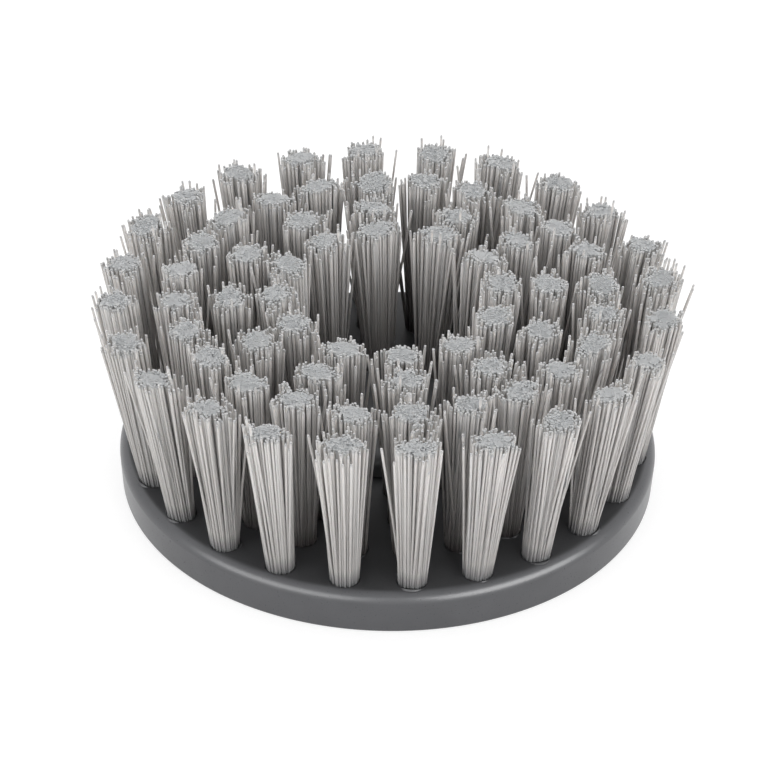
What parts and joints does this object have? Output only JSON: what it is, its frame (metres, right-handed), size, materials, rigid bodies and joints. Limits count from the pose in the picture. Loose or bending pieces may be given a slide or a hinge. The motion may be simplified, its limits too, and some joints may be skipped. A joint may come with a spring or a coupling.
{
  "type": "scrub brush head",
  "caption": "Round brush head of an electric scrubber: a rounded plastic disc with rings of flaring nylon tufts round a bare hub, and a hexagonal drive socket in its covered back.",
  "frame": {"origin": "centre of the rim's foot, on which the head rests", "axes": "+Z along the spin axis, from the drive socket towards the bristle tips; -Y is the side nearest the camera"},
  "size_m": [0.0948, 0.0948, 0.0358],
  "materials": {
    "plate_plastic": "moulded, satin",
    "cover_plastic": "moulded, fine texture",
    "hub_plastic": "moulded, satin",
    "bristle_nylon": "drawn filament",
    "spring_steel": "drawn wire"
  },
  "bodies": {
    "root": {"brush_plate": "plate_plastic", "bristles_right": "bristle_nylon", "bristles_back": "bristle_nylon", "bristles_left": "bristle_nylon", "bristles_front": "bristle_nylon", "tuft_anchor_1_01": "spring_steel", "tuft_anchor_1_02": "spring_steel", "tuft_anchor_1_03": "spring_steel", "tuft_anchor_1_04": "spring_steel", "tuft_anchor_1_05": "spring_steel", "tuft_anchor_1_06": "spring_steel", "tuft_anchor_1_07": "spring_steel", "tuft_anchor_1_08": "spring_steel", "tuft_anchor_1_09": "spring_steel", "tuft_anchor_1_10": "spring_steel", "tuft_anchor_1_11": "spring_steel", "tuft_anchor_1_12": "spring_steel", "tuft_anchor_1_13": "spring_steel", "tuft_anchor_1_14": "spring_steel", "tuft_anchor_1_15": "spring_steel", "tuft_anchor_1_16": "spring_steel", "tuft_anchor_1_17": "spring_steel", "tuft_anchor_1_18": "spring_steel", "tuft_anchor_1_19": "spring_steel", "tuft_anchor_1_20": "spring_steel", "tuft_anchor_1_21": "spring_steel", "tuft_anchor_1_22": "spring_steel", "tuft_anchor_1_23": "spring_steel", "tuft_anchor_1_24": "spring_steel", "tuft_anchor_2_01": "spring_steel", "tuft_anchor_2_02": "spring_steel", "tuft_anchor_2_03": "spring_steel", "tuft_anchor_2_04": "spring_steel", "tuft_anchor_2_05": "spring_steel", "tuft_anchor_2_06": "spring_steel", "tuft_anchor_2_07": "spring_steel", "tuft_anchor_2_08": "spring_steel", "tuft_anchor_2_09": "spring_steel", "tuft_anchor_2_10": "spring_steel", "tuft_anchor_2_11": "spring_steel", "tuft_anchor_2_12": "spring_steel", "tuft_anchor_2_13": "spring_steel", "tuft_anchor_2_14": "spring_steel", "tuft_anchor_2_15": "spring_steel", "tuft_anchor_2_16": "spring_steel", "tuft_anchor_2_17": "spring_steel", "tuft_anchor_2_18": "spring_steel", "tuft_anchor_2_19": "spring_steel", "tuft_anchor_2_20": "spring_steel", "tuft_anchor_2_21": "spring_steel", "tuft_anchor_2_22": "spring_steel", "tuft_anchor_2_23": "spring_steel", "tuft_anchor_2_24": "spring_steel", "drive_hub": "hub_plastic", "retaining_ring": "spring_steel", "back_cover": "cover_plastic", "cover_screw_1": "spring_steel", "cover_screw_2": "spring_steel", "cover_screw_3": "spring_steel", "cover_screw_4": "spring_steel"}
  },
  "joints": []
}
